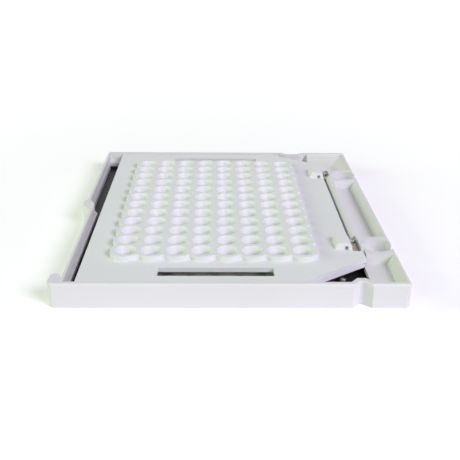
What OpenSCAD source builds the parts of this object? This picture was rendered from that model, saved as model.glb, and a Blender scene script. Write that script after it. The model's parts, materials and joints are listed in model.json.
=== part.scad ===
// Hinged 96-position well cassette of a thermal cycler.
// X runs across the eight columns, Y along the twelve rows, Z is up.
// The origin is the centre of the underside, on the surface that it rests on.
// The lid turns about the hinge line on the +X side and lifts at its -X edge.

/* [Frame] */
// Overall width across the columns
frame_w = 120.2; // [119:0.1:150]
// Overall length along the rows
frame_l = 146.2; // [145.4:0.1:180]
// Height of the frame walls
frame_h = 8.9; // [8.7:0.1:11]
// Thickness of the two end walls
end_wall = 1.9; // [1.2:0.1:2.2]
// Thickness of the wall on the hinge side at its top
hinge_wall = 1.2; // [0.9:0.1:1.6]
// How much thicker that wall is at the shelf
hinge_draft = 2.1; // [0.5:0.1:2.6]
// Thickness of the wall on the lifting side
grip_wall = 1.1; // [0.9:0.1:1.8]
// Slant cut along the outer top edges
rim_cut = 0.6; // [0.2:0.1:0.8]
// Slant cut up the four outer corners
corner_cut = 1.5; // [0.6:0.1:2.4]
// How far the rear half of the lifting side lies inside the front corner
grip_in = 1.4; // [0.8:0.1:2]
// How far the bulge at the end of that half lies inside the front corner
bulge_in = 0.3; // [0:0.1:0.7]
// Length of the bulge
bulge_l = 5; // [3:0.1:8]
// How far the front half of the lifting side steps in from the rear half
grip_step = 2.7; // [1:0.1:3.4]
// Distance from the middle to the slanted end of that step
grip_start = 0.8; // [0:0.1:12]
// Length of the slanted end of that step
grip_slant = 7; // [4:0.5:12]
// Length of the full-width corner in front of that step
grip_corner = 6.4; // [5:0.1:12]
// Height of the inner shelf above the surface
shelf_z = 4.9; // [4.7:0.1:5.2]
// Thickness of the inner shelf
shelf_t = 1.6; // [1.3:0.1:1.9]
// Width of the shelf inside the end walls
end_shelf = 4.9; // [3.9:0.1:6.3]
// Width of the shelf inside the stepped wall
side_shelf = 1; // [0.5:0.1:1.6]
// Depth of the slanted grooves in the end walls
groove_depth = 2.9; // [1.4:0.1:3.2]
// Width of the front groove at the outer face
front_groove_w = 6.7; // [6:0.1:9]
// Width of the rear groove at the outer face
rear_groove_w = 11.7; // [8:0.1:13]
// Distance of the front groove from the hinge side
front_groove_in = 16.2; // [14:0.1:18]
// Distance of the rear groove from the hinge side
rear_groove_in = 26.5; // [24:0.1:29]
// Radius of the round cups in the hinge side
cup_r = 5.7; // [4.8:0.1:6]
// Distance of the cup centres from the hinge side
cup_in = 5.5; // [5.2:0.1:5.7]
// Height of the floor of the cups
cup_floor = 4; // [3.4:0.1:5]
// Distance of the front cup from the middle
front_cup = 41.4; // [41:0.1:41.8]
// Distance of the rear cup from the middle
rear_cup = 37.6; // [37.2:0.1:38]
// Thickness of the walls between cups and pockets
cup_wall = 1.9; // [1:0.1:2.1]
// Thickness of the rail beside the hinge line
rail_t = 2.4; // [2:0.1:2.8]
// Slant along the rail's top edge towards the lid
rail_cut = 1; // [0.4:0.1:1.4]
// Length of the sloping end of the rear pocket
scoop_l = 9.5; // [6:0.5:10]
// Width of the sloping side of the rear pocket
scoop_w = 7; // [4:0.5:8]

/* [Wells] */
// Columns of wells across the width
columns = 8; // [6:1:8]
// Rows of wells along the length
rows = 12; // [8:1:12]
// Distance between neighbouring wells
well_pitch = 9; // [8.4:0.1:9]
// Distance of the middle of the wells from the middle of the frame
well_shift = -5.2; // [-5.6:0.1:-4.8]
// Diameter of a well at its rim
well_rim_d = 7.8; // [7:0.1:8.2]
// Diameter of a well at its throat
well_throat_d = 4; // [3:0.1:4.6]
// Radius of the scallops round the outer wells
scallop_r = 5.6; // [5.2:0.1:5.8]
// Depth of wall left between two scallops
scallop_root = 3.9; // [3.4:0.1:3.95]
// Height of the well field above the lid
well_rise = 2; // [1:0.1:2.4]
// Diameter of a seat in the heated block
seat_d = 5.8; // [4:0.1:6.4]
// Diameter of a seat at its bottom
seat_end_d = 2.4; // [1:0.1:3.4]
// Depth of a seat
seat_depth = 1.8; // [0.6:0.1:2]

/* [Lid] */
// Height of the lid's flat top
lid_z = 8.4; // [8.3:0.1:9]
// Thickness of the lid's top moulding
lid_t = 1.6; // [1.2:0.1:1.8]
// Thickness of the liner under it
liner_t = 1.6; // [1.2:0.1:1.6]
// Depth of the groove between the two
seam_depth = 0.4; // [0.2:0.1:0.6]
// Height of the groove between the two
seam_h = 0.35; // [0.2:0.05:0.6]
// Space between the lid and the end walls
end_gap = 0.5; // [0.3:0.1:1]
// Finger space between the lid and the rear half of the lifting side
finger_gap = 6.2; // [5:0.1:7]
// Length of the windows in the lid
window_l = 39.7; // [20:0.1:50]
// Width of the windows in the lid
window_w = 6.1; // [4.6:0.1:6.4]
// Distance from the outer wells to the middle of the front window
front_window_out = 13.4; // [13.2:0.1:14]
// Distance from the outer wells to the middle of the rear window
rear_window_out = 11.1; // [10.6:0.1:14]
// Where the slanted corners of the lid meet its ends, from the hinge line
slant_in = 19.7; // [16:0.1:22]
// Where the slanted corners meet the lid's corner edges, from the middle
slant_end = 52.1; // [50:0.1:54]
// Where the corners start beyond the hinge lugs, from the middle
nose_start = 45.7; // [45.4:0.1:46]

/* [Hinge] */
// Distance of the hinge line from the hinge side
hinge_in = 17.2; // [16.8:0.1:17.5]
// Height of the hinge line above the lid's flat top
hinge_up = 0.4; // [0.3:0.1:0.6]
// Radius of the lug noses round the hinge line
lug_r = 2.05; // [1.9:0.05:2.4]
// Length of a lug along the hinge line
lug_l = 8; // [7:0.5:9]
// Distance of the front lug from the middle
front_lug = 40; // [39.6:0.1:40.4]
// Distance of the rear lug from the middle
rear_lug = 39.5; // [39.1:0.1:39.9]
// Diameter of the hinge pins
pin_d = 1.5; // [1.2:0.05:1.6]
// Length that a pin sits back from the lug's front face
pin_back = 1.2; // [0.6:0.1:1.6]
// Radial clearance between a pin and the leaf that it turns in
pin_clear = 0.05; // [0.02:0.01:0.1]
// Width of the slot in a lug
lug_slot = 3.6; // [3:0.1:4.4]
// Thickness of the hinge leaves
leaf_t = 1.4; // [1.2:0.1:1.5]
// Side clearance of a leaf in its slot
leaf_gap = 0.3; // [0.2:0.05:0.4]
// Reach of the lid's corner edges beyond the hinge line
nose_reach = 5.7; // [5.4:0.1:5.9]

/* [Block and base] */
// Thickness of the bottom plate
plate_t = 0.6; // [0.4:0.1:0.6]
// Distance of the bottom plate from the surface
plate_z = 0.2; // [0.1:0.1:0.3]
// Thickness of the insulating tray's floor
tray_t = 1; // [0.8:0.1:1.1]
// Thickness of the heater mat
mat_t = 0.5; // [0.3:0.1:0.6]
// Clearance of the tray inside the frame
tray_gap = 0.2; // [0.1:0.05:0.4]
// Radius of a small screw's thread
screw_r = 0.8; // [0.6:0.05:0.9]
// Radius of a small screw's head
head_r = 1.5; // [1.2:0.05:1.6]
// Diameter of the closing magnets
magnet_d = 3; // [2:0.1:3.4]
// Thickness of the closing magnets
magnet_t = 1.2; // [0.8:0.1:1.2]

/* [Hidden] */
$fn = 48;
eps = 0.01;
fit = 0.02;                       // play of a thread or plug in its hole
run_gap = 0.3;                    // play between the lid and what it passes

half_w = frame_w / 2;
half_l = frame_l / 2;
out_left = -half_w + grip_in;     // outer face of the lifting side, rear half
out_step = out_left + grip_step;  // outer face of the lifting side, front half
in_left = out_left + grip_wall;
in_step = out_step + 0.9;
in_right = half_w - hinge_wall;
in_low = in_right - hinge_draft;  // foot of the slanted wall on the hinge side
ear_r = 1.6;                      // rounding behind the front corner
jog_rear = grip_start + 4;        // where the inner face starts to step in
jog_front = grip_start - 1.6;
in_end = half_l - end_wall;
shelf_low = shelf_z - shelf_t;
groove_floor_w = 1;               // flat at the bottom of the front groove
groove_narrow = 6.4;              // how much the rear groove narrows to its floor

hinge_x = half_w - hinge_in;
hinge_z = lid_z + hinge_up;
lid_left = in_left + finger_gap;
lid_right = hinge_x + lug_r + 0.05;
lid_end = in_end - end_gap;
lid_low = lid_z - lid_t;
liner_low = lid_low - liner_t;
nose_x = hinge_x + nose_reach;
liner_nose_x = nose_x - 0.6;      // the liner stops short, to swing past the shelf
liner_right = hinge_x - 0.6;
slant_x = hinge_x - slant_in;
slant_a = atan2(lid_end - slant_end, nose_x - slant_x);

rail_x = nose_x - 2.4;            // face of the rail towards the lid
block_x = nose_x - 0.6;           // face of the cup blocks towards the lid
block_step = 0.6;                 // how far they pass the lid's corner edge
rail_front = -front_lug + lug_l / 2 + 3.4;
rail_rear = rear_lug - 2.5;
rail_right = rail_x + rail_t;
cup_x = half_w - cup_in;
rear_wells = well_pitch * (rows - 1) / 2;
side_wells = well_pitch * (columns - 1) / 2;
front_window = -rear_wells - front_window_out;
rear_window = rear_wells + rear_window_out;
well_top = lid_z + well_rise;

tray_low = plate_z + plate_t;
tray_floor = tray_low + tray_t;
block_low = tray_floor + mat_t;
mat_edge = 1;                     // how far the mat stays inside the block
tray_right = block_x + 1.6;
hinge_shelf = hinge_x - 2;        // inner edge of the shelf along the hinge line

// All well centres, as [x, y] pairs
well_centres = [for (i = [0:columns - 1]) for (j = [0:rows - 1])
    [well_shift - side_wells + i * well_pitch, -rear_wells + j * well_pitch]];
liner_screw_y = lid_end - 10.6;
liner_screw_xy = concat(
    [for (y = [-liner_screw_y, 0, liner_screw_y]) [lid_left + 4.4, y]], [[hinge_x - 5.4, 0]],
    [for (s = [-1, 1]) [slant_x - 1.2, s * (liner_screw_y + 1)]]);
magnet_y = in_end - end_shelf / 2 - 0.2;
magnet_xy = [for (s = [-1, 1]) [lid_left + 9, s * magnet_y]];
end_screw_y = in_end - end_shelf / 2;
base_screw_x = [lid_left + 1.4, well_shift, slant_x + 0.8];
base_screw_xy = concat([for (s = [-1, 1]) for (x = base_screw_x) [x, s * end_screw_y]],
    [for (s = [-1, 1]) [hinge_x + 1.4, s * rear_lug / 2]]);
tray_screw_y = slant_end + 5.9;
tray_screw_xy = [for (s = [-1, 1]) for (x = [lid_left + 2, hinge_x - 3.4]) [x, s * tray_screw_y]];
block_screw_xy = [for (sx = [-1, 1]) for (sy = [-1, 1])
    [well_shift + sx * well_pitch * 3, sy * well_pitch * 5]];
tray_screw_head = 1.8;
board = [7, 24];                  // contact board, across and along
board_xy = [hinge_x - 5.8, -30];
pad = [1.8, 3];
sensor_r = 0.9;
sensor_l = 10;

// ---------- outlines ----------

// A slanted groove that opens at y = 0 and narrows to its floor at y = depth
module groove_outline(width, floor_w, depth) {
    polygon([[-width / 2 - depth * 0.02, -eps], [width / 2 + depth * 0.02, -eps],
        [floor_w / 2, depth], [-floor_w / 2, depth]]);
}

// Both end grooves; thick grows them into the wall that is left behind them
module grooves(thick) {
    translate([half_w - front_groove_in, -half_l])
        groove_outline(front_groove_w + 2 * thick, groove_floor_w + thick, groove_depth + thick);
    translate([half_w - rear_groove_in, half_l])
        mirror([0, 1])
            groove_outline(rear_groove_w + 2 * thick, rear_groove_w - groove_narrow + thick,
                groove_depth - 0.2 + thick);
}

// Outer outline of the frame
module frame_outline() {
    difference() {
        polygon(concat([[out_left, half_l - corner_cut], [out_left, bulge_l - grip_start + 1],
            [-half_w + bulge_in, bulge_l - grip_start - 1], [-half_w + bulge_in, -grip_start],
            [out_step, -grip_start - grip_slant],
            [out_step, -half_l + grip_corner - ear_r]],
            [for (t = [150:-30:0]) [-half_w + ear_r * (1 - cos(t)),
                -half_l + grip_corner + ear_r * sin(t)]],
            [[-half_w, -half_l + corner_cut], [-half_w + corner_cut, -half_l],
            [half_w - corner_cut, -half_l], [half_w, -half_l + corner_cut],
            [half_w, half_l - corner_cut], [half_w - corner_cut, half_l],
            [out_left + corner_cut, half_l]]));
        grooves(0);
    }
}

// Inside of the walls; gap shrinks it for what drops into the frame
module inner_outline(gap, right) {
    difference() {
        polygon([[in_left + gap, in_end - gap], [in_left + gap, jog_rear],
            [in_step + gap, jog_front], [in_step + gap, -in_end + gap],
            [right - gap, -in_end + gap], [right - gap, in_end - gap]]);
        grooves(end_wall + gap);
    }
}

// The large opening in the shelf, with a corner cut out beside each end of the hinge
module shelf_opening() {
    open_end = in_end - end_shelf;
    polygon([[in_left + 0.1, open_end], [in_left + 0.1, jog_rear],
        [in_step + side_shelf, jog_front], [in_step + side_shelf, -open_end],
        [liner_nose_x + 0.3, -open_end], [liner_nose_x + 0.3, -nose_start + 0.3],
        [hinge_shelf, -nose_start + 0.3], [hinge_shelf, nose_start - 0.3],
        [liner_nose_x + 0.3, nose_start - 0.3], [liner_nose_x + 0.3, open_end - 6],
        [hinge_shelf, open_end - 6], [hinge_shelf - 4, open_end]]);
}

// Outline of the lid; inset draws it in, nose and back set its hinge side
module lid_outline(inset, nose, back) {
    e = inset;
    x1 = slant_x - e * tan(slant_a / 2);
    y1 = slant_end - (nose_x - nose) * tan(slant_a) * -1 - e * tan((90 - slant_a) / 2);
    polygon([[lid_left + e, -lid_end + e], [x1, -lid_end + e], [nose - e, -y1],
        [nose - e, -nose_start - e], [back - e, -nose_start - e],
        [back - e, nose_start + e], [nose - e, nose_start + e], [nose - e, y1],
        [x1, lid_end - e], [lid_left + e, lid_end - e]]);
}

// Scalloped outline round the well field
module scallop_outline() {
    translate([well_shift, 0]) {
        square([2 * (side_wells + scallop_root), 2 * (rear_wells + scallop_root)], center = true);
        for (i = [0:columns - 1]) for (s = [-1, 1])
            translate([-side_wells + i * well_pitch, s * rear_wells]) circle(scallop_r);
        for (j = [1:rows - 2]) for (s = [-1, 1])
            translate([s * side_wells, -rear_wells + j * well_pitch]) circle(scallop_r);
    }
}

// One window, wide more than the given size on every side
module window(y, wide, low, high) {
    translate([well_shift + 0.4, y, low])
        linear_extrude(high - low)
            square([window_l + 2 * wide, window_w + 2 * wide], center = true);
}

// ---------- frame ----------

// Slant along one straight outer top edge of length l
module rim_slant(l) {
    translate([0, 0, frame_h]) rotate([45, 0, 0])
        cube([l, rim_cut * sqrt(2), rim_cut * sqrt(2)], center = true);
}

// Solid with the given outline, side on, from y = low to y = high
module side_on(low, high, points) {
    translate([0, high, 0]) rotate([90, 0, 0]) linear_extrude(high - low) polygon(points);
}

// Rail beside the hinge line
module rail() {
    side_on(rail_front, rail_rear, [[rail_x, shelf_z - eps], [rail_x, frame_h - rail_cut],
        [rail_x + rail_cut, frame_h], [rail_right, frame_h], [rail_right, shelf_z - eps]]);
}

// Slant that thickens the wall on the hinge side towards the shelf
module hinge_side_slant() {
    side_on(-in_end - eps, in_end + eps, [[in_low, shelf_z - eps], [in_low, shelf_z],
        [in_right, frame_h], [in_right + eps, frame_h], [in_right + eps, shelf_z - eps]]);
}

// Hollow floor that sweeps down from the rail to the side wall, from cup to cup
module channel_floor() {
    left = block_x;
    sweep = in_low - rail_right;
    drop = frame_h - shelf_z;
    side_on(-front_cup + cup_r, rear_cup - cup_r, concat([[left, shelf_z - eps], [left, frame_h]],
        [for (t = [0:10:90]) [in_low + eps - sweep * cos(t), frame_h - drop * sin(t)]],
        [[in_low + eps, shelf_z - eps]]));
}

// Solid block that holds one cup, notched where it reaches past the lid's corner edge
module cup_block(y, toward) {
    outer = abs(y) + cup_r + cup_wall;
    inner = abs(y) - cup_r - cup_wall;
    notch = min(nose_start - 0.4, outer);
    translate([0, 0, shelf_z - eps]) linear_extrude(frame_h - shelf_z + eps)
        mirror([0, toward < 0 ? 1 : 0]) polygon([[block_x, inner], [block_x, notch],
            [nose_x + block_step, notch], [nose_x + block_step, outer], [in_right + eps, outer],
            [in_right + eps, inner]]);
}

// Two slopes that meet in a valley at the rear corner of the hinge side
module rear_scoop() {
    drop = frame_h - shelf_z;
    run = 17.7;
    translate([in_right - run, in_end + eps, shelf_z - eps])
        rotate([90, 0, 90]) linear_extrude(run + eps)
            polygon([[0, 0], [0, drop - 0.4], [-scoop_l, 0]]);
    translate([in_right + eps, in_end, shelf_z - eps])
        rotate([90, 0, 0]) linear_extrude(in_end - rear_cup - cup_r - cup_wall)
            polygon([[0, 0], [0, drop - 0.4], [-scoop_w, 0]]);
}

module carrier_frame() {
    color("whitesmoke") difference() {
        union() {
            difference() {
                linear_extrude(frame_h) frame_outline();
                translate([0, 0, shelf_z]) linear_extrude(frame_h) inner_outline(0, in_right);
                translate([0, 0, -eps]) linear_extrude(shelf_low + eps)
                    inner_outline(0, tray_right + tray_gap);
                translate([0, 0, shelf_low - eps]) linear_extrude(shelf_t + 2 * eps)
                    shelf_opening();
            }
            rail();
            channel_floor();
            hinge_side_slant();
            cup_block(-front_cup, -1);
            cup_block(rear_cup, 1);
            rear_scoop();
        }
        for (y = [-front_cup, rear_cup])
            translate([cup_x, y, cup_floor]) cylinder(h = frame_h, r = cup_r);
        for (s = [-1, 1]) translate([0, s * half_l, 0]) rim_slant(frame_w);
        translate([half_w, 0, 0]) rotate([0, 0, 90]) rim_slant(frame_l);
        under_cores();
        frame_holes();
    }
}

// Hollows moulded into the underside below the pockets and the rail
module under_cores() {
    wall = 1.4;
    left = tray_right + tray_gap + wall;
    for (seg = [[-in_end, -front_cup - cup_r - 1], [-front_cup + cup_r + 1, -1],
            [1, rear_cup - cup_r - 1], [rear_cup + cup_r + 1, in_end]])
        translate([left, seg[0], -eps]) cube([in_low - left, seg[1] - seg[0], shelf_low]);
}

// Holes in the shelf for screws and magnets
module frame_holes() {
    for (p = base_screw_xy)
        translate([p[0], p[1], shelf_low - 1]) cylinder(h = 1 + shelf_t - 0.3, r = screw_r + fit);
    for (p = magnet_xy)
        translate([p[0], p[1], shelf_z - magnet_t]) cylinder(h = magnet_t + 1, r = magnet_d / 2 + fit);
    for (p = leaf_screw_xy)
        translate([p[0], p[1], shelf_low - 1]) cylinder(h = shelf_t + 2, r = screw_r + fit);
}

// ---------- lid ----------

module lug(y) {
    translate([0, y + lug_l / 2, 0]) rotate([90, 0, 0]) linear_extrude(lug_l) union() {
        polygon([[hinge_x - 4.3, lid_z - 0.5], [hinge_x - 4.3, lid_z],
            [hinge_x - 3.1, hinge_z + lug_r], [hinge_x, hinge_z + lug_r],
            [hinge_x + lug_r, hinge_z], [hinge_x + lug_r, lid_z - 0.5]]);
        translate([hinge_x, hinge_z]) circle(lug_r);
    }
}

// Room for a hinge leaf's eye and arm, open below and towards the hinge side
module lug_room(y) {
    eye_r = pin_d / 2 + pin_clear + 0.45 + 0.25;
    translate([hinge_x, y + lug_slot / 2, hinge_z]) rotate([90, 0, 0])
        cylinder(h = lug_slot, r = eye_r);
    translate([hinge_x - leaf_t / 2 - run_gap, y - lug_slot / 2, liner_low - 1])
        cube([nose_reach, lug_slot, hinge_z + leaf_t / 2 + run_gap - liner_low + 1]);
}

module pin_hole(y) {
    translate([hinge_x, y + lug_l / 2 + 1, hinge_z]) rotate([90, 0, 0])
        cylinder(h = lug_l + 2, r = pin_d / 2 + fit / 2);
}

module lid_plate() {
    color("gainsboro") difference() {
        union() {
            translate([0, 0, lid_low]) linear_extrude(lid_t) lid_outline(0, nose_x, lid_right);
            translate([0, 0, lid_z - eps]) linear_extrude(well_rise + eps) scallop_outline();
            lug(-front_lug);
            lug(rear_lug);
        }
        funnels();
        window(front_window, 0, lid_low - 1, lid_z + 1);
        window(rear_window, 0, lid_low - 1, lid_z + 1);
        for (y = [-front_lug, rear_lug]) {
            lug_room(y);
            pin_hole(y);
        }
        for (p = liner_screw_xy)
            translate([p[0], p[1], lid_low - eps]) cylinder(h = lid_t - 0.4, r = screw_r + fit);
    }
}

// The conical wells, cut through the lid and the liner in one taper
module funnels() {
    depth = well_top - liner_low;
    grow = eps * (well_rim_d - well_throat_d) / depth / 2;
    for (p = well_centres)
        translate([p[0], p[1], liner_low - eps])
            cylinder(h = depth + 2 * eps, r1 = well_throat_d / 2 - grow, r2 = well_rim_d / 2 + grow);
}

module lid_liner() {
    color("white") difference() {
        union() {
            translate([0, 0, liner_low])
                linear_extrude(liner_t - seam_h) lid_outline(0, liner_nose_x, liner_right);
            translate([0, 0, liner_low])
                linear_extrude(liner_t) lid_outline(seam_depth, liner_nose_x, liner_right);
        }
        funnels();
        liner_window(front_window, -1);
        liner_window(rear_window, 1);
        for (y = [-front_lug, rear_lug]) lug_room(y);
        for (p = liner_screw_xy) translate([p[0], p[1], liner_low - eps]) {
            cylinder(h = liner_t + 1, r = screw_r + 0.1);
            cylinder(h = 1, r = head_r + 0.1);
        }
        for (p = magnet_xy)
            translate([p[0], p[1], liner_low - 1]) cylinder(h = magnet_t + 1, r = magnet_d / 2 + fit);
    }
}

// The liner's window is wider, and runs back to the edge of the well field
module liner_window(y, side) {
    near_y = side * (rear_wells + scallop_r - 0.9);
    far_y = y + side * (window_w / 2 + 0.6);
    translate([well_shift + 0.4 - window_l / 2 - 0.8, min(near_y, far_y), liner_low - 1])
        cube([window_l + 1.6, abs(far_y - near_y), liner_t + 2]);
}

module liner_screws() {
    color("silver") for (p = liner_screw_xy) translate([p[0], p[1], liner_low + 0.1]) {
        cylinder(h = 0.9 - fit, r = head_r);
        cylinder(h = liner_t + lid_t - 0.7, r = screw_r);
    }
}

module lid_magnets() {
    color("dimgray") for (p = magnet_xy)
        translate([p[0], p[1], liner_low]) cylinder(h = magnet_t, r = magnet_d / 2);
}

module frame_magnets() {
    color("dimgray") for (p = magnet_xy)
        translate([p[0], p[1], shelf_z - magnet_t]) cylinder(h = magnet_t, r = magnet_d / 2);
}

// ---------- hinge ----------

leaf_w = lug_slot - 2 * leaf_gap;
foot_t = 2.2;
arm_t = min(foot_t, hinge_z - lug_r - run_gap - shelf_z);   // low enough for the lug to turn over
foot_left = lid_right + run_gap;
foot_right = block_x - run_gap;
// Reach of each leaf's foot along the hinge line, as [from, to]
front_foot = [-front_lug - lug_l / 2 + 0.4, rail_front - 0.4];
rear_foot = [rail_rear + 0.4, rear_lug + lug_l / 2 + 1.4];
leaf_screw_xy = [[(foot_left + foot_right) / 2, front_foot[1] - 1.5],
    [(foot_left + foot_right) / 2, rear_foot[1] - 1.5]];

// Eye round the pin, arm down to the shelf and a foot that lies on the shelf
module hinge_leaf(y, foot) {
    difference() {
        union() {
            translate([hinge_x, y + leaf_w / 2, hinge_z]) rotate([90, 0, 0])
                cylinder(h = leaf_w, r = pin_d / 2 + pin_clear + 0.45);
            translate([hinge_x - leaf_t / 2, y - leaf_w / 2, shelf_z])
                cube([leaf_t, leaf_w, hinge_z - shelf_z]);
            translate([hinge_x - leaf_t / 2, y - leaf_w / 2, shelf_z])
                cube([foot_right - hinge_x + leaf_t / 2, leaf_w, arm_t]);
            translate([foot_left, foot[0], shelf_z])
                cube([foot_right - foot_left, foot[1] - foot[0], foot_t]);
        }
        translate([hinge_x, y + leaf_w, hinge_z]) rotate([90, 0, 0])
            cylinder(h = leaf_w * 2, r = pin_d / 2 + pin_clear);
        for (p = leaf_screw_xy)
            translate([p[0], p[1], shelf_z - 1]) cylinder(h = foot_t + 2, r = screw_r + 0.05);
    }
}

module front_hinge_leaf() {
    color("rosybrown") hinge_leaf(-front_lug, front_foot);
}

module rear_hinge_leaf() {
    color("rosybrown") hinge_leaf(rear_lug, rear_foot);
}

module hinge_pin(y) {
    color("silver") translate([hinge_x, y + lug_l / 2 - 0.6, hinge_z]) rotate([90, 0, 0])
        cylinder(h = lug_l - 0.6 - pin_back, r = pin_d / 2);
}

module front_hinge_pin() {
    hinge_pin(-front_lug);
}

module rear_hinge_pin() {
    hinge_pin(rear_lug);
}

module leaf_screws() {
    color("silver") for (p = leaf_screw_xy) translate([p[0], p[1], shelf_low + 0.1]) {
        cylinder(h = shelf_t + foot_t, r = screw_r);
        translate([0, 0, shelf_t + foot_t - 0.1]) cylinder(h = 0.8, r = 1.1);
    }
}

// ---------- base and heated block ----------

// Outline shared by the tray and the bottom plate
module tray_outline() {
    inner_outline(tray_gap, tray_right + tray_gap);
}

// Room for the contact board, smaller by lip on every side
module board_room(lip, low, high) {
    translate([board_xy[0], board_xy[1], (low + high) / 2])
        cube([board[0] - 2 * lip, board[1] - 2 * lip, high - low], center = true);
}

module insulator_tray() {
    band = end_shelf - tray_gap;
    band_end = nose_start - 0.4;
    color([0.14, 0.14, 0.15]) difference() {
        union() {
            translate([0, 0, tray_low]) linear_extrude(tray_t) tray_outline();
            translate([0, 0, tray_low]) linear_extrude(shelf_low - tray_low) intersection() {
                tray_outline();
                union() {
                    for (s = [-1, 1]) translate([0, s * (in_end - band / 2)])
                        square([frame_w, band], center = true);
                    translate([hinge_shelf, -band_end]) square([frame_w, 2 * band_end]);
                }
            }
        }
        for (p = base_screw_xy)
            translate([p[0], p[1], 0]) cylinder(h = shelf_z, r = screw_r + 0.1);
        for (p = tray_screw_xy)
            translate([p[0], p[1], 0]) cylinder(h = shelf_z, r = screw_r + fit);
        for (p = block_screw_xy)
            translate([p[0], p[1], 0]) cylinder(h = shelf_z, r = screw_r + 0.1);
        for (p = leaf_screw_xy)
            translate([p[0], p[1], tray_floor]) cylinder(h = shelf_z, r = screw_r + 0.2);
        board_room(-0.1, 0, tray_floor + 1);
    }
}

// Slanted seat for a flush screw head, from the underside of the bottom plate
module flush_seat(grow) {
    cylinder(h = plate_t, r1 = head_r + grow, r2 = screw_r + grow);
}

module base_plate() {
    color("darkgray") difference() {
        translate([0, 0, plate_z]) linear_extrude(plate_t) tray_outline();
        for (p = concat(base_screw_xy, block_screw_xy)) translate([p[0], p[1], plate_z]) {
            flush_seat(fit);
            translate([0, 0, -1]) cylinder(h = 1 + eps, r = head_r + fit);
            translate([0, 0, plate_t - eps]) cylinder(h = 1, r = screw_r + fit);
        }
        for (p = tray_screw_xy)
            translate([p[0], p[1], 0]) cylinder(h = tray_low + 1, r = screw_r + fit);
        board_room(1, 0, tray_low + 1);
    }
}

module heater_mat() {
    color("darkorange") difference() {
        translate([well_shift, 0, tray_floor + mat_t / 2])
            cube([2 * (side_wells + scallop_root - mat_edge),
                2 * (rear_wells + scallop_root - mat_edge), mat_t], center = true);
        for (p = block_screw_xy)
            translate([p[0], p[1], 0]) cylinder(h = shelf_z, r = screw_r + 0.1);
    }
}

module well_block() {
    color("lightslategray") difference() {
        translate([0, 0, block_low]) linear_extrude(shelf_z - block_low) scallop_outline();
        for (p = well_centres)
            translate([p[0], p[1], shelf_z - seat_depth])
                cylinder(h = seat_depth + eps, r1 = seat_end_d / 2, r2 = seat_d / 2);
        for (p = block_screw_xy)
            translate([p[0], p[1], block_low - 1]) cylinder(h = 2.8, r = screw_r + fit);
        translate([well_shift + side_wells - 3, 0, block_low + 1.1]) rotate([0, 90, 0])
            cylinder(h = 20, r = sensor_r + fit);
    }
}

module temperature_sensor() {
    color("gold") translate([well_shift + side_wells - 3 + fit, 0, block_low + 1.1])
        rotate([0, 90, 0]) cylinder(h = sensor_l, r = sensor_r);
}

module thermal_cutout() {
    size = [4.4, 8, 2.2];
    color("tan") translate([hinge_shelf - 3.6 - size[0] / 2, 16, tray_floor])
        translate([0, -size[1] / 2, 0]) cube(size);
}

// Flat film lead from the mat's front corner round to the contact board
module heater_lead() {
    lead_t = 0.2;
    lead_w = 2.6;
    mat_x = well_shift + side_wells;
    mat_end = -rear_wells - scallop_root + mat_edge;
    board_end = board_xy[1] - board[1] / 2;
    run_y = -59.6;
    right_x = board_xy[0] - 0.4;
    color("peru") translate([0, 0, tray_floor]) linear_extrude(lead_t) polygon([
        [mat_x, mat_end], [mat_x, run_y - lead_w], [right_x + lead_w / 2, run_y - lead_w],
        [right_x + lead_w / 2, board_end + 2], [right_x - lead_w / 2, board_end + 2],
        [right_x - lead_w / 2, run_y], [mat_x + lead_w, run_y], [mat_x + lead_w, mat_end]]);
}

module contact_board() {
    color("seagreen") board_room(0, tray_low, tray_floor);
}

module contact_pads() {
    pad_t = 0.3;
    color("gold") for (i = [-1, 1]) for (j = [-2.5:1:2.5])
        translate([board_xy[0] + i * 1.2, board_xy[1] + j * 3.6, tray_low - pad_t / 2])
            cube([pad[0], pad[1], pad_t], center = true);
}

module tray_screws() {
    color("silver") for (p = tray_screw_xy) translate([p[0], p[1], plate_z + 0.1]) {
        cylinder(h = tray_floor - plate_z, r = screw_r);
        translate([0, 0, tray_floor - plate_z - 0.1])
            cylinder(h = tray_screw_head, r = head_r - 0.3);
    }
}

// Flush screw with its slanted head in the bottom plate
module flush_screw(l) {
    translate([0, 0, plate_z]) flush_seat(0);
    translate([0, 0, plate_z + plate_t - eps]) cylinder(h = l, r = screw_r);
}

module block_screws() {
    color("silver") for (p = block_screw_xy)
        translate([p[0], p[1], 0]) flush_screw(block_low + 1.6 - tray_low);
}

module base_screws() {
    color("silver") for (p = base_screw_xy)
        translate([p[0], p[1], 0]) flush_screw(shelf_low + 1.1 - tray_low);
}

carrier_frame();
insulator_tray();
base_plate();
heater_mat();
well_block();
temperature_sensor();
thermal_cutout();
heater_lead();
contact_board();
contact_pads();
lid_plate();
lid_liner();
liner_screws();
lid_magnets();
frame_magnets();
front_hinge_leaf();
rear_hinge_leaf();
front_hinge_pin();
rear_hinge_pin();
leaf_screws();
tray_screws();
block_screws();
base_screws();
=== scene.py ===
# %% [markdown]
# # A slim hinged well cassette
# This lesson dresses the model of a laboratory cassette: a white moulded frame, a white hinged lid
# with ninety-six conical wells, and the dark tray and metal block that show through its openings.
# The solid model is loaded first and never changed. Everything else is laid over it.

# %% Load the solid model
import json
import math

import bmesh
import bpy
from mathutils import Matrix, Vector


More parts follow.
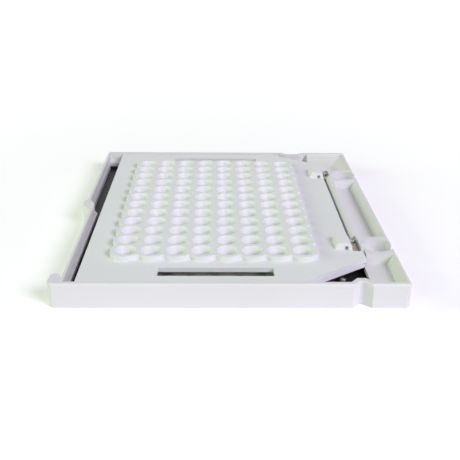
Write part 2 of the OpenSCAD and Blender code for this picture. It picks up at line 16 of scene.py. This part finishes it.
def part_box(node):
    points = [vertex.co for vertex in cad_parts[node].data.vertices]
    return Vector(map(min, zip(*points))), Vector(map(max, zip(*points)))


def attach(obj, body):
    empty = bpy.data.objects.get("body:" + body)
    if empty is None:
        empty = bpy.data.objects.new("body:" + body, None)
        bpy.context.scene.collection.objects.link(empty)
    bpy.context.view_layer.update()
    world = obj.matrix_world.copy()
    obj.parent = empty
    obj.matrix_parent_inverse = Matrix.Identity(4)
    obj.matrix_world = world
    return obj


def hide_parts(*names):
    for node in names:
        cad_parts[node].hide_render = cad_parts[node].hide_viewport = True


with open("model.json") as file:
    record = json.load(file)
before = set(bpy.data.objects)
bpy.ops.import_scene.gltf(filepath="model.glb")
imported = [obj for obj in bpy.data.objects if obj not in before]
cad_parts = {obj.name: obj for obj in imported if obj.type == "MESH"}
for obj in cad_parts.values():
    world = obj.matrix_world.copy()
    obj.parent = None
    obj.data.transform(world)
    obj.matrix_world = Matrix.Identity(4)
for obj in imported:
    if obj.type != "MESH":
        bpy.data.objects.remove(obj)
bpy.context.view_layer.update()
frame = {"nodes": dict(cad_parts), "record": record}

nodes = frame["nodes"]

# %% [markdown]
# ## Sizes and colours
# Blender works in metres here, and the cassette is a few millimetres thick, so sizes are written in
# millimetres and turned into metres by one function. Colours are written as the hex values of a
# paint chart and turned into the linear values that light is counted in.


# %% Millimetres and hex colours
def mm(value):
    """Millimetres as metres."""
    return value / 1000.0


def linear(hex_colour):
    """An sRGB hex colour as linear red, green, blue and alpha."""
    channels = [int(hex_colour[i:i + 2], 16) / 255 for i in (1, 3, 5)]
    light = [c / 12.92 if c <= 0.04045 else ((c + 0.055) / 1.055) ** 2.4 for c in channels]
    return (*light, 1.0)


print("white moulding", [round(c, 3) for c in linear("#E6E6E6")])

# %% [markdown]
# ## Camera
# The camera stands a little above the bench, close enough that the near edge looks wider than the
# far one. It is given its place, the way it looks and a small tilt about its own axis. Its three
# directions are worked out from those angles, which is clearer than guessing at Euler angles.

# %% Place the camera
CAMERA_PLACE = (mm(-5.266), mm(-288.765), mm(120.215))
CAMERA_TURN = math.radians(1.298)
CAMERA_DOWN = math.radians(23.096)
CAMERA_TILT = math.radians(0.686)
CAMERA_SENSOR = 36.0   # width in millimetres
CAMERA_LENS = 57.99    # focal length in millimetres

camera_data = bpy.data.cameras.new("camera")
camera_data.sensor_width = CAMERA_SENSOR
camera_data.lens = CAMERA_LENS
camera_data.clip_start = mm(10)
camera_data.clip_end = 20
camera = bpy.data.objects.new("camera", camera_data)
bpy.context.collection.objects.link(camera)
level = math.cos(CAMERA_DOWN)
ahead = Vector((math.sin(CAMERA_TURN) * level, math.cos(CAMERA_TURN) * level,
                -math.sin(CAMERA_DOWN)))
side = ahead.cross(Vector((0, 0, 1))).normalized()
over = side.cross(ahead)
side_tilted = math.cos(CAMERA_TILT) * side + math.sin(CAMERA_TILT) * over
over_tilted = math.cos(CAMERA_TILT) * over - math.sin(CAMERA_TILT) * side
camera.location = CAMERA_PLACE
camera.rotation_euler = Matrix((side_tilted, over_tilted, -ahead)).transposed().to_euler()
bpy.context.scene.camera = camera
bpy.context.scene.view_settings.view_transform = "Standard"
print("camera", [round(c, 3) for c in camera.location])

# %% [markdown]
# ## One way to build a material
# A material is a small graph. One function adds a node, fills in its settings and joins its inputs,
# and every material below is written with it. Patterns read Object coordinates, which stay fixed
# to a piece when it moves, and are in metres, so a grain of half a millimetre has a scale of 2000.


# %% Nodes
WAVE_TURN = 20   # a wave pattern turns by 20 radians over each unit of scaled length


def add_node(tree, kind, settings=None, links=None):
    """Adds a node. Settings name its properties or inputs, and links name its inputs."""
    node = tree.nodes.new(kind)
    for name, value in (settings or {}).items():
        if isinstance(name, int) or name in node.inputs:
            node.inputs[name].default_value = value
        else:
            setattr(node, name, value)
    for name, source in (links or {}).items():
        tree.links.new(source, node.inputs[name])
    return node


def start_material(name, settings):
    """A new material with its shader set, and the Object coordinates that its patterns read."""
    material = bpy.data.materials.new(name)
    material.use_nodes = True
    tree = material.node_tree
    shader = tree.nodes["Principled BSDF"]
    for socket, value in settings.items():
        shader.inputs[socket].default_value = value
    place = add_node(tree, "ShaderNodeTexCoord").outputs["Object"]
    return material, tree, shader, place


def per_mm(size):
    """The scale of a noise or cell pattern whose grains are that many millimetres across."""
    return 1.0 / mm(size)


def band_scale(period):
    """The scale of a wave pattern whose bands repeat every so many millimetres."""
    return 2 * math.pi / (WAVE_TURN * mm(period))


def looked_at(tree):
    """One for rays that look at a surface, also by mirror or glass, and nought for all others."""
    ray = add_node(tree, "ShaderNodeLightPath")
    mirrored = add_node(tree, "ShaderNodeMath", {"operation": "MAXIMUM"},
                        {0: ray.outputs["Is Camera Ray"], 1: ray.outputs["Is Glossy Ray"]})
    seen = add_node(tree, "ShaderNodeMath", {"operation": "MAXIMUM"},
                    {0: mirrored.outputs[0], 1: ray.outputs["Is Transmission Ray"]})
    return seen.outputs[0]


print("grain of 0.5 mm has scale", per_mm(0.5))

# %% [markdown]
# ## White floor and pale room
# The cassette lies on a white sweep. The floor is an ordinary matt white, so it keeps the soft
# contact shadow. To rays that look at it, straight or in a reflection, it glows a little on top of
# that, so that it reads as clean white without more light on the object. The glow grows with the
# distance from the cassette, because the lamps reach the far floor less. The room works the same
# way: it looks full white, and lights the cassette with only a quarter of that.

# %% Floor and world
NEAR_GLOW = 0.25
FAR_GLOW = 0.48
ROOM_LIGHT = 0.26
ROOM_SEEN = 1.0
FLOOR_SIZE = 40                 # metres
GLOW_FROM, GLOW_TO = 0.1, 0.5   # metres from the middle of the cassette
WHITE = (1, 1, 1, 1)

bpy.ops.mesh.primitive_plane_add(size=FLOOR_SIZE)
floor = bpy.context.object
floor.name = "floor"
sweep, tree, shader, place = start_material("matt white sweep", {"Roughness": 0.9})
speck = add_node(tree, "ShaderNodeTexNoise", {"Scale": per_mm(60)}, {"Vector": place})
tone = add_node(tree, "ShaderNodeMix",
                {"data_type": "RGBA", 6: linear("#F4F4F4"), 7: linear("#F7F7F7")},
                {0: speck.outputs["Fac"]})
tree.links.new(tone.outputs[2], shader.inputs["Base Color"])
away = add_node(tree, "ShaderNodeVectorMath", {"operation": "LENGTH"}, {0: place})
level_glow = add_node(tree, "ShaderNodeMapRange",
                      {"From Min": GLOW_FROM, "From Max": GLOW_TO,
                       "To Min": NEAR_GLOW, "To Max": FAR_GLOW},
                      {"Value": away.outputs["Value"]})
glow = add_node(tree, "ShaderNodeMath", {"operation": "MULTIPLY"},
                {0: looked_at(tree), 1: level_glow.outputs[0]})
shine = add_node(tree, "ShaderNodeEmission", {"Color": WHITE}, {"Strength": glow.outputs[0]})
both = add_node(tree, "ShaderNodeAddShader", {}, {0: shader.outputs[0], 1: shine.outputs[0]})
tree.links.new(both.outputs[0], tree.nodes["Material Output"].inputs["Surface"])
floor.data.materials.append(sweep)

world = bpy.data.worlds.new("pale room")
bpy.context.scene.world = world
world.use_nodes = True
tree = world.node_tree
strength = add_node(tree, "ShaderNodeMix",
                    {"data_type": "FLOAT", 2: ROOM_LIGHT, 3: ROOM_SEEN},
                    {0: looked_at(tree)})
sky = tree.nodes["Background"]
sky.inputs["Color"].default_value = WHITE
tree.links.new(strength.outputs[0], sky.inputs["Strength"])
print("room light", ROOM_LIGHT, "floor glow", NEAR_GLOW, "to", FAR_GLOW)

# %% [markdown]
# ## Soft lamps
# Three broad lamps stand low round the bench, so upright faces are brighter than flat ones and
# every ledge and well shows its shape. The key is high enough at the right to reach into the wells,
# and leans to lavender. The two on the left are weaker and lean to green, which makes the two
# sides of each scallop read apart. They stand two and a half metres off, so that the floor round
# the cassette is lit evenly. The floor beyond them is darker.


# %% Lamps
LAMP_DISTANCE = 2.5   # metres
LAMP_WIDTH = 1.1      # metres


def soft_lamp(name, turn, height, watts, colour):
    """A round soft box at two angles in degrees: round from the front to the right, and up."""
    data = bpy.data.lights.new(name, "AREA")
    data.shape = "DISK"
    data.size = LAMP_WIDTH
    data.energy = watts
    data.color = linear(colour)[:3]
    lamp = bpy.data.objects.new(name, data)
    turn, height = math.radians(turn), math.radians(height)
    lamp.location = LAMP_DISTANCE * Vector((math.sin(turn) * math.cos(height),
                                            -math.cos(turn) * math.cos(height), math.sin(height)))
    lamp.rotation_euler = (-lamp.location).to_track_quat("-Z", "Y").to_euler()
    bpy.context.collection.objects.link(lamp)
    print(name, [round(c, 2) for c in lamp.location], watts, "W")


soft_lamp("key lamp", 45, 34, 48, "#F0E7FF")
soft_lamp("left lamp", 270, 18, 22, "#E9FFD3")
soft_lamp("front left lamp", 315, 25, 13, "#E2FFC4")

# %% [markdown]
# ## Moulded white ABS
# The frame, the lid and the liner are injection-moulded ABS, in a white that is a touch warm or
# cool from part to part. The mould's spark-eroded wall leaves a fine satin grain. The real grain is
# some 0.05 mm, too fine to draw, so it is drawn at 0.4 mm and kept very low. A broad, faint change
# of tone stands for flow in the mould.


# %% ABS
ABS_SPREAD = 0.05   # how far the roughness strays from its middle


def moulded_abs(name, light, shade, roughness):
    """Satin white ABS with a fine mould grain and a broad, faint change of tone."""
    material, tree, shader, place = start_material(name, {"IOR": 1.5})
    flow = add_node(tree, "ShaderNodeTexNoise", {"Scale": per_mm(40), "Detail": 2.0}, {"Vector": place})
    tone = add_node(tree, "ShaderNodeMix",
                    {"data_type": "RGBA", 6: linear(light), 7: linear(shade)},
                    {0: flow.outputs["Fac"]})
    grain = add_node(tree, "ShaderNodeTexNoise", {"Scale": per_mm(0.4), "Detail": 3.0},
                     {"Vector": place})
    satin = add_node(tree, "ShaderNodeMapRange",
                     {"To Min": roughness - ABS_SPREAD, "To Max": roughness + ABS_SPREAD},
                     {"Value": grain.outputs["Fac"]})
    bump = add_node(tree, "ShaderNodeBump", {"Strength": 0.10, "Distance": mm(0.02)},
                    {"Height": grain.outputs["Fac"]})
    tree.links.new(tone.outputs[2], shader.inputs["Base Color"])
    tree.links.new(satin.outputs[0], shader.inputs["Roughness"])
    tree.links.new(bump.outputs[0], shader.inputs["Normal"])
    print("material", name)
    return material


# The frame is a neutral white a touch cooler than its own shade, so its broad walls don't look flat.
frame_abs = moulded_abs("moulded white ABS of the frame", "#E4E3E5", "#DEDDDE", 0.46)
# The lid leans a little to green and is the dullest, so the wells read by shadow and not by shine.
lid_abs = moulded_abs("moulded white ABS of the lid", "#E8EAEA", "#E2E4E4", 0.48)
# The liner is the lightest and a little smoother, so the thin layer under the lid stays readable.
liner_abs = moulded_abs("moulded white ABS of the liner", "#EAEAEC", "#E4E4E8", 0.44)

# %% [markdown]
# ## Black tray
# The tray under the block is black nylon with short glass fibres, which stands the heat. The
# fibres leave pale flecks near the surface and a duller, slightly streaked skin.

# %% Glass-filled nylon
tray_nylon, tree, shader, place = start_material("glass-filled black nylon", {"IOR": 1.53})
fleck = add_node(tree, "ShaderNodeTexVoronoi", {"Scale": per_mm(0.9)}, {"Vector": place})
few = add_node(tree, "ShaderNodeMapRange",
               {"From Min": 0.0, "From Max": 0.25, "To Min": 1.0, "To Max": 0.0},
               {"Value": fleck.outputs["Distance"]})
tone = add_node(tree, "ShaderNodeMix",
                {"data_type": "RGBA", 6: linear("#1B1A1D"), 7: linear("#2B2A2D")},
                {0: few.outputs[0]})
skin = add_node(tree, "ShaderNodeTexNoise", {"Scale": per_mm(1.5), "Detail": 4.0},
                {"Vector": place})
dull = add_node(tree, "ShaderNodeMapRange", {"To Min": 0.48, "To Max": 0.66},
                {"Value": skin.outputs["Fac"]})
bump = add_node(tree, "ShaderNodeBump", {"Strength": 0.15, "Distance": mm(0.03)},
                {"Height": skin.outputs["Fac"]})
tree.links.new(tone.outputs[2], shader.inputs["Base Color"])
tree.links.new(dull.outputs[0], shader.inputs["Roughness"])
tree.links.new(bump.outputs[0], shader.inputs["Normal"])
print("material", tray_nylon.name)

# %% [markdown]
# ## Bare metals
# The small parts are bare metal, and what tells them apart is how each surface was made. Blasting
# leaves even pits, brushing and drawing leave lines along one way, grinding leaves finer lines.
# One function draws lines by stretching a noise along one axis, and a stretch of one gives pits.
# The block is the exception to bare metal. Its blasted face is anodised, and that clear oxide skin
# scatters light like pale grey stone, so only a little of its shine is counted as metal.


# %% Metals
METAL_SPREAD = 0.08   # how far the roughness strays from its middle


def bare_metal(name, light, shade, roughness, grain, stretch, depth, metallic=1.0):
    """Metal whose surface has grains of a size in millimetres, drawn out along X, Y or Z."""
    material, tree, shader, place = start_material(name, {"Metallic": metallic})
    along = add_node(tree, "ShaderNodeMapping", {"Scale": tuple(1.0 / s for s in stretch)},
                     {"Vector": place})
    lines = add_node(tree, "ShaderNodeTexNoise", {"Scale": per_mm(grain), "Detail": 3.0},
                     {"Vector": along.outputs[0]})
    tone = add_node(tree, "ShaderNodeMix",
                    {"data_type": "RGBA", 6: linear(light), 7: linear(shade)},
                    {0: lines.outputs["Fac"]})
    worn = add_node(tree, "ShaderNodeMapRange",
                    {"To Min": roughness - METAL_SPREAD, "To Max": roughness + METAL_SPREAD},
                    {"Value": lines.outputs["Fac"]})
    bump = add_node(tree, "ShaderNodeBump", {"Strength": 0.25, "Distance": mm(depth)},
                    {"Height": lines.outputs["Fac"]})
    tree.links.new(tone.outputs[2], shader.inputs["Base Color"])
    tree.links.new(worn.outputs[0], shader.inputs["Roughness"])
    tree.links.new(bump.outputs[0], shader.inputs["Normal"])
    print("material", name)
    return material


# Even pits under an oxide skin: soft, pale, and without a clear reflection.
blasted = bare_metal("clear-anodised blasted aluminium", "#E4E2DE", "#D4D2CE",
                     0.60, 0.35, (1, 1, 1), 0.03, metallic=0.15)
# Lines along Y spread the reflection of a lamp into a band across them.
brushed = bare_metal("brushed aluminium sheet", "#CFD0D2", "#B9BABD",
                     0.38, 0.30, (1, 40, 1), 0.01)
# Level lines, as a lathe leaves them round an upright screw, with a bright head.
turned = bare_metal("turned stainless steel", "#D2D0CE", "#BDBBB9",
                    0.28, 0.20, (6, 6, 1), 0.01)
# The pins lie along Y, and so do their fine lines. They are darker than the screws.
ground = bare_metal("ground steel", "#BEBDBC", "#A9A8A8",
                    0.22, 0.15, (1, 20, 1), 0.005)
# Lines along X, a little duller than the ground pins.
drawn = bare_metal("drawn stainless tube", "#C8C7C6", "#B4B3B2",
                   0.30, 0.20, (20, 1, 1), 0.01)
# A smooth, faintly warm shine on the magnets.
nickel = bare_metal("nickel plate", "#CFC9BF", "#BFB9B0",
                    0.20, 0.40, (1, 1, 1), 0.005)
# Brown-grey and dull, which sets the hinge leaves off from the white round them.
bronze = bare_metal("dull pressed bronze", "#B0A698", "#96897B",
                    0.45, 0.30, (1, 12, 1), 0.02)
# A clean yellow on the contacts.
gold = bare_metal("hard gold plate", "#E6C169", "#D6AE55",
                  0.25, 0.30, (1, 1, 1), 0.005)

# %% [markdown]
# ## Heater, film, board and resin
# The heater is silicone rubber that was cured against cloth, so it carries a weave. Its lead is
# amber polyimide film with copper tracks inside. The contact board has a green solder mask over
# copper, and the thermal cutout is a block of matt resin. A real weave and real tracks repeat about
# every millimetre, and they are drawn some six times coarser here.

# %% Rubber, film, mask and resin
WEAVE_PERIOD = 6.2832   # millimetres, as the two below
FILM_PERIOD = 5.6549
BOARD_PERIOD = 7.5398

# Two crossed bands make a weave of raised, paler spots on the rubber.
silicone, tree, shader, place = start_material("cloth-cured silicone rubber",
                                               {"IOR": 1.41, "Roughness": 0.7})
warp, weft = [add_node(tree, "ShaderNodeTexWave",
                       {"bands_direction": way, "Scale": band_scale(WEAVE_PERIOD)},
                       {"Vector": place}) for way in ("X", "Y")]
weave = add_node(tree, "ShaderNodeMath", {"operation": "MULTIPLY"},
                 {0: warp.outputs["Fac"], 1: weft.outputs["Fac"]})
tone = add_node(tree, "ShaderNodeMix",
                {"data_type": "RGBA", 6: linear("#B04A22"), 7: linear("#D0633A")},
                {0: weave.outputs[0]})
bump = add_node(tree, "ShaderNodeBump", {"Strength": 0.4, "Distance": mm(0.08)},
                {"Height": weave.outputs[0]})
tree.links.new(tone.outputs[2], shader.inputs["Base Color"])
tree.links.new(bump.outputs[0], shader.inputs["Normal"])

# Brown film, glossy, with paler tracks that show through it.
film, tree, shader, place = start_material("amber polyimide film", {"IOR": 1.7, "Roughness": 0.22})
bands = add_node(tree, "ShaderNodeTexWave",
                 {"bands_direction": "X", "Scale": band_scale(FILM_PERIOD)}, {"Vector": place})
track = add_node(tree, "ShaderNodeMapRange", {"From Min": 0.45, "From Max": 0.55},
                 {"Value": bands.outputs["Fac"]})
tone = add_node(tree, "ShaderNodeMix",
                {"data_type": "RGBA", 6: linear("#4A3A30"), 7: linear("#6A5748")},
                {0: track.outputs[0]})
tree.links.new(tone.outputs[2], shader.inputs["Base Color"])

# Green mask, a little lighter and raised where copper lies under it.
board_mask, tree, shader, place = start_material("green solder mask",
                                                 {"IOR": 1.55, "Roughness": 0.3})
bands = add_node(tree, "ShaderNodeTexWave",
                 {"bands_direction": "Y", "Scale": band_scale(BOARD_PERIOD)}, {"Vector": place})
track = add_node(tree, "ShaderNodeMapRange", {"From Min": 0.6, "From Max": 0.7},
                 {"Value": bands.outputs["Fac"]})
tone = add_node(tree, "ShaderNodeMix",
                {"data_type": "RGBA", 6: linear("#14512B"), 7: linear("#1F6B3A")},
                {0: track.outputs[0]})
bump = add_node(tree, "ShaderNodeBump", {"Strength": 0.3, "Distance": mm(0.03)},
                {"Height": track.outputs[0]})
tree.links.new(tone.outputs[2], shader.inputs["Base Color"])
tree.links.new(bump.outputs[0], shader.inputs["Normal"])

# Sand-coloured resin, cloudy and without shine.
resin, tree, shader, place = start_material("matt cast resin", {"IOR": 1.5, "Roughness": 0.6})
cloud = add_node(tree, "ShaderNodeTexNoise", {"Scale": per_mm(2), "Detail": 4.0},
                 {"Vector": place})
tone = add_node(tree, "ShaderNodeMix",
                {"data_type": "RGBA", 6: linear("#C9B48F"), 7: linear("#B29C78")},
                {0: cloud.outputs["Fac"]})
bump = add_node(tree, "ShaderNodeBump", {"Strength": 0.2, "Distance": mm(0.05)},
                {"Height": cloud.outputs["Fac"]})
tree.links.new(tone.outputs[2], shader.inputs["Base Color"])
tree.links.new(bump.outputs[0], shader.inputs["Normal"])
print("materials", len(bpy.data.materials))

# %% [markdown]
# ## Softened edges
# A moulded edge is never sharp: it has a small radius that catches a line of light, and that line
# is what makes a white part readable on a white bench. The solid model has sharp edges, so each
# piece is copied, its loose triangles are merged, flat areas are cleaned to single faces, and a
# Bevel modifier rounds what is left. The copy then stands for the node that it was made from.


# %% A softened copy of a node
MERGE_WITHIN = 0.001   # millimetres
FLAT_WITHIN = 0.5      # degrees between faces that are joined
ROUND_OVER = 25        # degrees between faces whose edge is rounded
SMOOTH_UNDER = 30      # degrees between faces that are shaded as one
FLAT_LEAD = 100        # the highest weight of large faces in the shading
SEGMENTS = 2


def work_on(piece):
    """Makes a piece the only selected and active one."""
    bpy.ops.object.select_all(action="DESELECT")
    piece.select_set(True)
    bpy.context.view_layer.objects.active = piece


def body_of(node):
    """The body that carries a node."""
    return "lid" if node in frame["record"]["behaviour"]["bodies"]["lid"] else "cassette"


def stand_for(piece, node, material):
    """Gives a piece its finish, and lets it ride and stand for a node."""
    piece.data.materials.clear()
    piece.data.materials.append(material)
    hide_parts(node)
    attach(piece, body_of(node))


def softened_copy(node, radius):
    """A copy of a node with its edges rounded to a radius in millimetres."""
    piece = bpy.data.objects.new("soft_" + node, nodes[node].data.copy())
    bpy.context.collection.objects.link(piece)
    work_on(piece)
    bpy.ops.object.mode_set(mode="EDIT")
    bpy.ops.mesh.select_all(action="SELECT")
    bpy.ops.mesh.remove_doubles(threshold=mm(MERGE_WITHIN))
    bpy.ops.mesh.dissolve_limited(angle_limit=math.radians(FLAT_WITHIN))
    bpy.ops.object.mode_set(mode="OBJECT")
    rounding = piece.modifiers.new("rounding", "BEVEL")
    rounding.width = mm(radius)
    rounding.segments = SEGMENTS
    rounding.limit_method = "ANGLE"
    rounding.angle_limit = math.radians(ROUND_OVER)
    rounding.miter_outer = "MITER_ARC"
    bpy.ops.object.modifier_apply(modifier="rounding")
    bpy.ops.object.shade_smooth_by_angle(angle=math.radians(SMOOTH_UNDER))
    flatten = piece.modifiers.new("flat faces lead", "WEIGHTED_NORMAL")
    flatten.keep_sharp = True
    flatten.weight = FLAT_LEAD
    bpy.ops.object.modifier_apply(modifier="flat faces lead")
    print(piece.name, len(piece.data.polygons), "faces")
    return piece


print("edges of more than", ROUND_OVER, "degrees are rounded in", SEGMENTS, "steps")

# %% [markdown]
# ## White mouldings
# The frame, lid and liner are what the eye meets first, so they get a generous radius, about a
# quarter of a millimetre.

# %% Frame, lid and liner
WHITE_PARTS = {
    "carrier_frame": (0.25, frame_abs),
    "lid_plate": (0.22, lid_abs),
    "lid_liner": (0.22, liner_abs),
}
for node, (radius, finish) in WHITE_PARTS.items():
    stand_for(softened_copy(node, radius), node, finish)

# %% [markdown]
# ## Small parts
# Sheet metal and film have only a broken edge, so their radius is small. Each still gets one,
# because a razor edge looks wrong where it catches the light.

# %% Everything else that is not a screw
SMALL_PARTS = {
    "insulator_tray": (0.20, tray_nylon),
    "base_plate": (0.06, brushed),
    "heater_mat": (0.10, silicone),
    "well_block": (0.12, blasted),
    "temperature_sensor": (0.10, drawn),
    "thermal_cutout": (0.30, resin),
    "heater_lead": (0.03, film),
    "contact_board": (0.06, board_mask),
    "contact_pads": (0.04, gold),
    "lid_magnets": (0.12, nickel),
    "frame_magnets": (0.12, nickel),
    "front_hinge_leaf": (0.12, bronze),
    "rear_hinge_leaf": (0.12, bronze),
    "front_hinge_pin": (0.15, ground),
    "rear_hinge_pin": (0.15, ground),
}
for node, (radius, finish) in SMALL_PARTS.items():
    stand_for(softened_copy(node, radius), node, finish)

# %% [markdown]
# ## Screws
# Five sets of small screws hold the cassette together. A real one is turned from rod, so it is
# modelled the same way: a round face is pushed along its axis and drawn in or out at each step,
# and a recess with six lobes is pressed into the head. One screw of each kind is made at the
# origin and copied to the middle of every solid of its node.


# %% Turn a screw
SIDES = 24             # of the round rod
SIDE_ANGLE = 360 / SIDES
LOBE_EVERY = 4         # each fourth corner of the recess is pulled in, which leaves six lobes
LOBE_PULL = 0.72
RECESS_TAPER = 0.9     # width of the floor of the recess, as a share of its mouth
SCREW_SMOOTH = 35      # degrees
SAME_SCREW = 4         # millimetres between points, seen from above, that belong to one screw


def turned_screw(steps, recess, recess_depth):
    """Turns a screw from (height, radius) steps. The last step is the outer face of the head."""
    height, radius = steps[0]
    bpy.ops.object.select_all(action="DESELECT")
    bpy.ops.mesh.primitive_circle_add(vertices=SIDES, radius=mm(radius), fill_type="NGON",
                                      location=(0, 0, mm(height)))
    screw = bpy.context.object
    bpy.ops.object.transform_apply(location=True, rotation=True, scale=True)
    bpy.ops.object.mode_set(mode="EDIT")
    for next_height, next_radius in steps[1:] + [(steps[-1][0], recess)]:
        push_cap(screw, next_height - height, next_radius / radius)
        height, radius = next_height, next_radius
    work = bmesh.from_edit_mesh(screw.data)
    work.verts.ensure_lookup_table()
    rim = [v for v in work.verts if v.select]
    for face in work.faces:
        face.select_set(False)
    for v in rim:
        corner = round(math.degrees(math.atan2(v.co.y, v.co.x)) / SIDE_ANGLE)
        v.select_set(corner % LOBE_EVERY == 0)
    bmesh.update_edit_mesh(screw.data)
    bpy.ops.mesh.select_mode(type="VERT")
    bpy.ops.transform.resize(value=(LOBE_PULL, LOBE_PULL, 1))
    work = bmesh.from_edit_mesh(screw.data)
    for face in work.faces:
        off_cap = abs(face.calc_center_median().z - mm(height))
        face.select_set(len(face.verts) == SIDES and off_cap < mm(MERGE_WITHIN))
    bmesh.update_edit_mesh(screw.data)
    bpy.ops.mesh.select_mode(type="FACE")
    inward = -1 if steps[-1][0] > steps[0][0] else 1
    push_cap(screw, inward * recess_depth, RECESS_TAPER)
    bpy.ops.mesh.select_all(action="SELECT")
    bpy.ops.mesh.normals_make_consistent(inside=False)
    bpy.ops.object.mode_set(mode="OBJECT")
    bpy.ops.object.shade_smooth_by_angle(angle=math.radians(SCREW_SMOOTH))
    return screw


def push_cap(screw, rise, growth):
    """Extrudes the selected cap along the axis and scales it."""
    bpy.ops.mesh.extrude_region_move(TRANSFORM_OT_translate={"value": (0, 0, mm(rise))})
    bpy.ops.transform.resize(value=(growth, growth, 1))


def places_of(node):
    """The middle of each solid of a node, seen from above."""
    groups = []
    for vertex in nodes[node].data.vertices:
        near = [g for g in groups if (g[0] - vertex.co.xy).length < mm(SAME_SCREW)]
        if near:
            near[0].append(vertex.co.xy)
        else:
            groups.append([vertex.co.xy.copy()])
    return [Vector(((min(p.x for p in g) + max(p.x for p in g)) / 2,
                    (min(p.y for p in g) + max(p.y for p in g)) / 2)) for g in groups]


def screw_set(node, steps, recess, recess_depth):
    """Puts a copy of one turned screw at every solid of a node, and joins them."""
    first = turned_screw(steps, recess, recess_depth)
    copies = []
    for place in places_of(node):
        copy = bpy.data.objects.new("soft_" + node, first.data.copy())
        copy.data.transform(Matrix.Translation((place.x, place.y, 0)))
        bpy.context.collection.objects.link(copy)
        copies.append(copy)
    bpy.data.objects.remove(first)
    work_on(copies[0])
    for copy in copies:
        copy.select_set(True)
    bpy.ops.object.join()
    copies[0].name = "soft_" + node
    stand_for(copies[0], node, turned)
    print(node, len(copies), "screws")


print("a screw has", SIDES, "sides and", SIDES // LOBE_EVERY, "lobes in its recess")

# %% [markdown]
# ## Five sets of screws
# Each set is turned between the lowest and highest point of its node. The liner screws and the
# countersunk ones point up, with their heads below. The tray and leaf screws stand head up.

# %% Place the five sets
LOW, HIGH = 0, 1
THREAD_R = 0.8             # all in millimetres
TIP_R, TIP_T = 0.5, 0.3    # the point of the rod
HEAD_BREAK = 0.15          # the broken edge of a head
SUNK_R, SUNK_T = 1.45, 0.6


def height_of(node, end):
    """The lowest or highest point of a node, in millimetres."""
    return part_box(node)[end].z * 1000


def round_head(tip, face, head_r, head_t):
    """Steps of a screw with a straight round head, from its tip to the outer face of the head."""
    way = 1 if face > tip else -1
    return [(tip, TIP_R), (tip + way * TIP_T, THREAD_R), (face - way * head_t, THREAD_R),
            (face - way * head_t, head_r), (face - way * HEAD_BREAK, head_r),
            (face, head_r - HEAD_BREAK)]


low, high = height_of("liner_screws", LOW), height_of("liner_screws", HIGH)
screw_set("liner_screws", round_head(high, low, 1.5, 0.88), 0.8, 0.45)
for node in ("base_screws", "block_screws"):
    low, high = height_of(node, LOW), height_of(node, HIGH)
    screw_set(node, [(high, TIP_R), (high - TIP_T, THREAD_R), (low + SUNK_T, THREAD_R),
                     (low + 0.05, SUNK_R), (low, SUNK_R - 0.03)], 0.8, 0.4)
for node, head_r, head_t in (("tray_screws", 1.2, 1.8), ("leaf_screws", 1.1, 0.8)):
    low, high = height_of(node, LOW), height_of(node, HIGH)
    screw_set(node, round_head(low, high, head_r, head_t), 0.65, 0.4)
